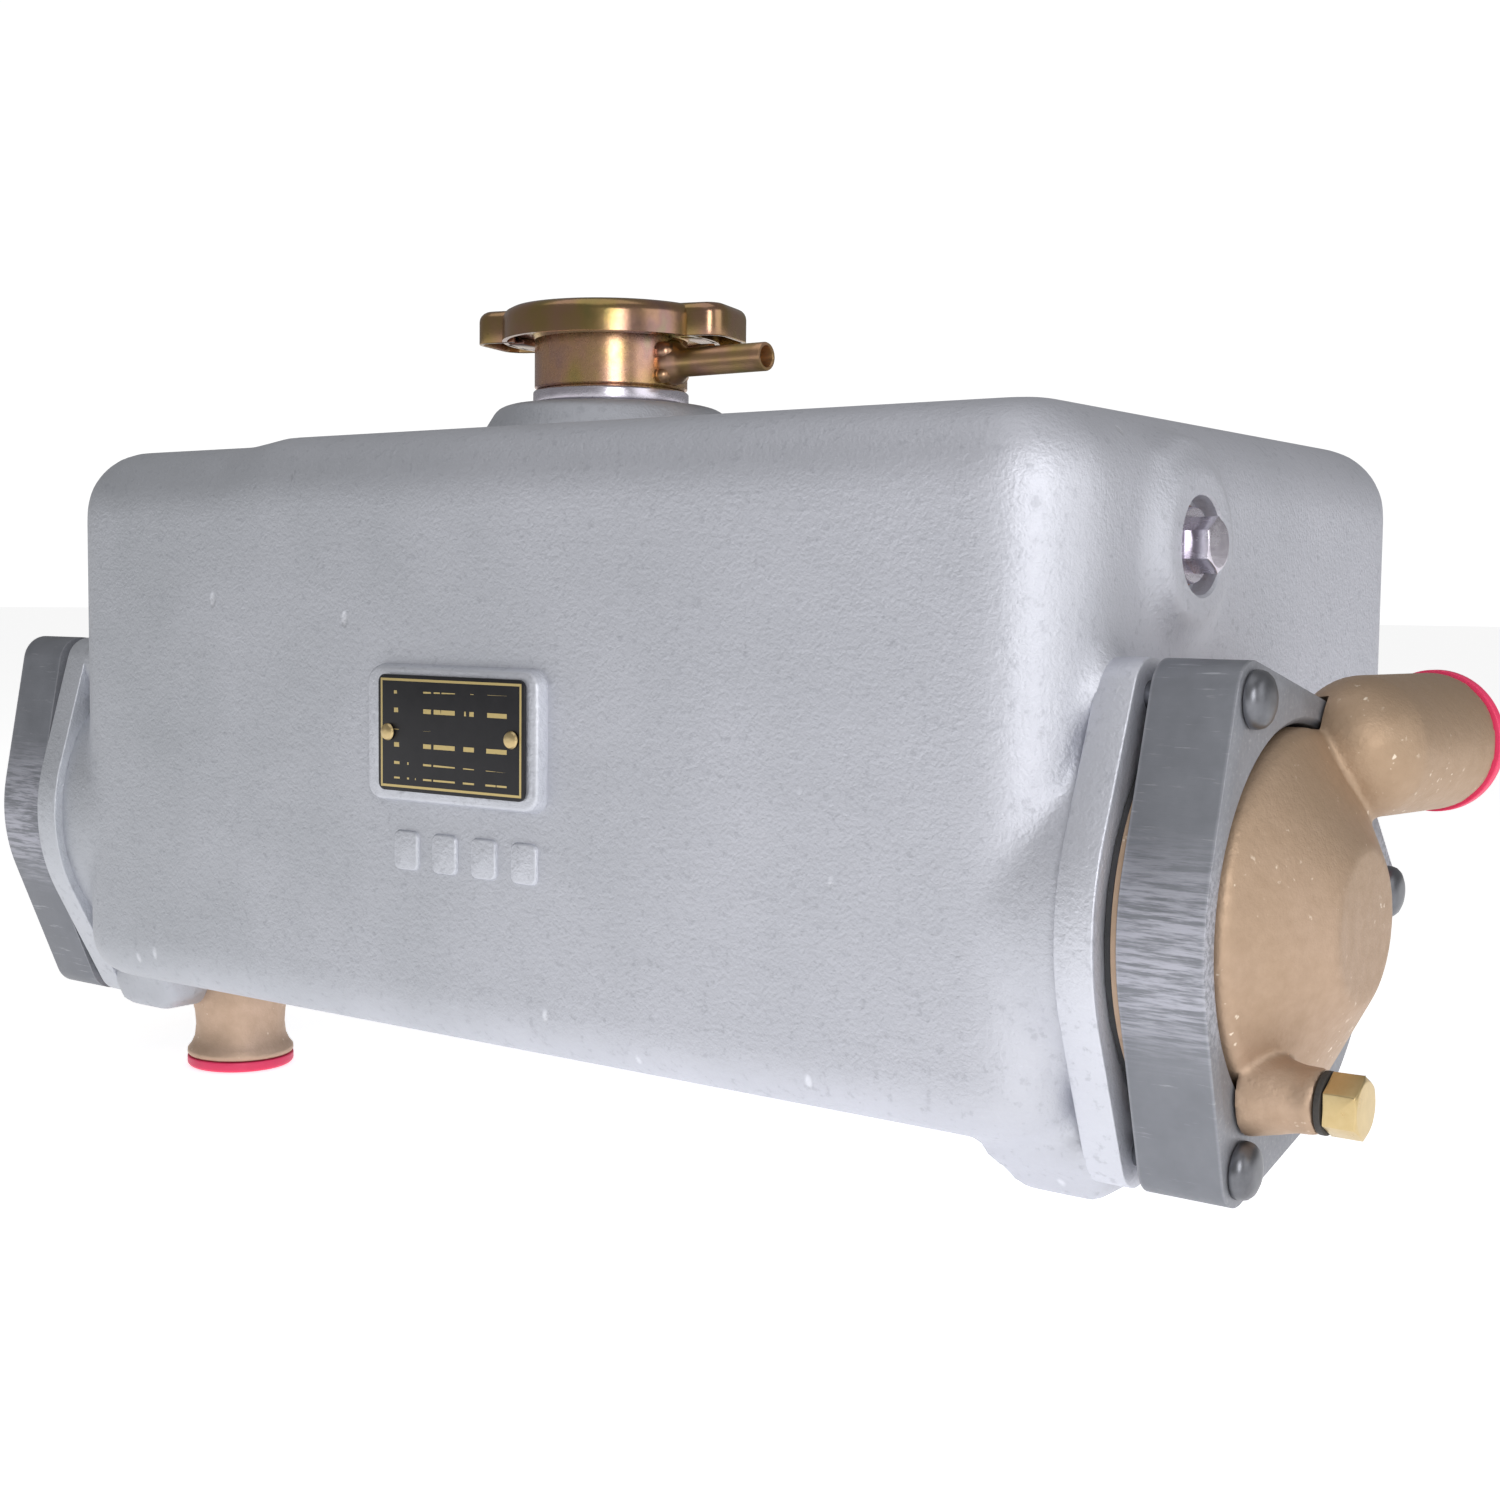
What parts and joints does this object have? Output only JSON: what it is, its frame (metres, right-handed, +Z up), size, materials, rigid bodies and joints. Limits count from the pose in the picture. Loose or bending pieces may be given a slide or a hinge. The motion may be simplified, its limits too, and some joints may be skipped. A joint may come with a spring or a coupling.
{
  "type": "header tank heat exchanger",
  "caption": "Cast header tank with a tube cooler along its lower front, clamped end covers, pressure filler cap and capped hose stubs.",
  "frame": {"origin": "midway between the two mounting feet, on the plane of their lower faces, below the cooler axis", "axes": "+X along the cooler towards the end with the tank plug, +Y from the front face to the back, +Z up"},
  "size_m": [0.4306, 0.2286, 0.2249],
  "materials": {
    "cast_aluminium": "bead-blasted casting with small dings",
    "ring_paint": "satin dark grey with fine streaks",
    "cast_bronze": "rough sand-cast bronze, dull",
    "brass": "machined brass",
    "copper": "drawn copper",
    "yellow_zinc": "yellow passivated zinc plate",
    "bright_zinc": "bright zinc plate",
    "dark_steel": "blackened steel",
    "spring_steel": "drawn spring wire",
    "rubber": "matt black rubber",
    "red_plastic": "moulded pink-red plastic",
    "plate_black": "black lacquer over thin metal plate"
  },
  "bodies": {
    "tank": {"baffle_1": "copper", "baffle_2": "copper", "baffle_3": "copper", "clamp_ring_left": "ring_paint", "clamp_ring_right": "ring_paint", "clamp_screw_left_1": "dark_steel", "clamp_screw_left_2": "dark_steel", "clamp_screw_left_3": "dark_steel", "clamp_screw_right_1": "dark_steel", "clamp_screw_right_2": "dark_steel", "clamp_screw_right_3": "dark_steel", "coolant_inlet_stub": "cast_bronze", "coolant_outlet_stub": "cast_bronze", "drain_washer_left": "copper", "drain_washer_right": "copper", "end_cover_left": "cast_bronze", "end_cover_right": "cast_bronze", "end_seal_left": "rubber", "end_seal_right": "rubber", "filler_neck": "yellow_zinc", "header_tank": "cast_aluminium", "nameplate": "plate_black", "neck_collar": "bright_zinc", "overflow_pipe": "yellow_zinc", "plate_rivet_1": "brass", "plate_rivet_2": "brass", "tank_plug_washer": "copper", "tube_stack": "copper"},
    "cap_core": {"cap_top_gasket": "rubber", "cap_locking_plate": "bright_zinc", "cap_rivet": "yellow_zinc", "cap_spring": "spring_steel"},
    "cap_cover": {"cap_shell": "yellow_zinc"},
    "pressure_valve": {"pressure_valve_plate": "brass", "pressure_valve_seal": "rubber"},
    "vacuum_valve_body": {"vacuum_valve": "brass"},
    "outlet_cap": {"coolant_outlet_cap": "red_plastic"},
    "inlet_cap": {"coolant_inlet_cap": "red_plastic"},
    "water_cap_right": {"water_pipe_cap_right": "red_plastic"},
    "water_cap_left": {"water_pipe_cap_left": "red_plastic"},
    "drain_plug_right_body": {"drain_plug_right": "brass"},
    "drain_plug_left_body": {"drain_plug_left": "brass"},
    "tank_plug_body": {"tank_plug": "bright_zinc"}
  },
  "joints": [
    {"name": "cap_lift", "type": "slide", "parent": "tank", "child": "cap_core", "axis": [0, 0, 1], "range_m": [0, 0.035]},
    {"name": "cap_turn", "type": "hinge", "parent": "cap_core", "child": "cap_cover", "pos_m": [-0.037, 0.051, 0.2035], "axis": [0, 0, 1], "range_deg": [0, 90]},
    {"name": "pressure_valve_lift", "type": "slide", "parent": "cap_core", "child": "pressure_valve", "axis": [0, 0, 1], "range_m": [0, 0.003], "stiffness_N_per_m": 3000, "springref_m": -0.01, "deforming": ["cap_spring"]},
    {"name": "vacuum_valve_drop", "type": "slide", "parent": "pressure_valve", "child": "vacuum_valve_body", "axis": [0, 0, -1], "range_m": [0, 0.002], "stiffness_N_per_m": 150, "springref_m": -0.003},
    {"name": "outlet_cap_pull", "type": "slide", "parent": "tank", "child": "outlet_cap", "axis": [0, 0, -1], "range_m": [0, 0.03]},
    {"name": "inlet_cap_pull", "type": "slide", "parent": "tank", "child": "inlet_cap", "axis": [0, 1, 0], "range_m": [0, 0.03]},
    {"name": "water_cap_right_pull", "type": "slide", "parent": "tank", "child": "water_cap_right", "axis": [0.1666, 0.986, 0], "range_m": [0, 0.03]},
    {"name": "water_cap_left_pull", "type": "slide", "parent": "tank", "child": "water_cap_left", "axis": [-0.1666, 0.986, 0], "range_m": [0, 0.03]},
    {"name": "drain_plug_right_draw", "type": "slide", "parent": "tank", "child": "drain_plug_right_body", "axis": [1, 0, 0], "range_m": [0, 0.016]},
    {"name": "drain_plug_left_draw", "type": "slide", "parent": "tank", "child": "drain_plug_left_body", "axis": [-1, 0, 0], "range_m": [0, 0.016]},
    {"name": "tank_plug_draw", "type": "slide", "parent": "tank", "child": "tank_plug_body", "axis": [1, 0, 0], "range_m": [0, 0.014]}
  ]
}
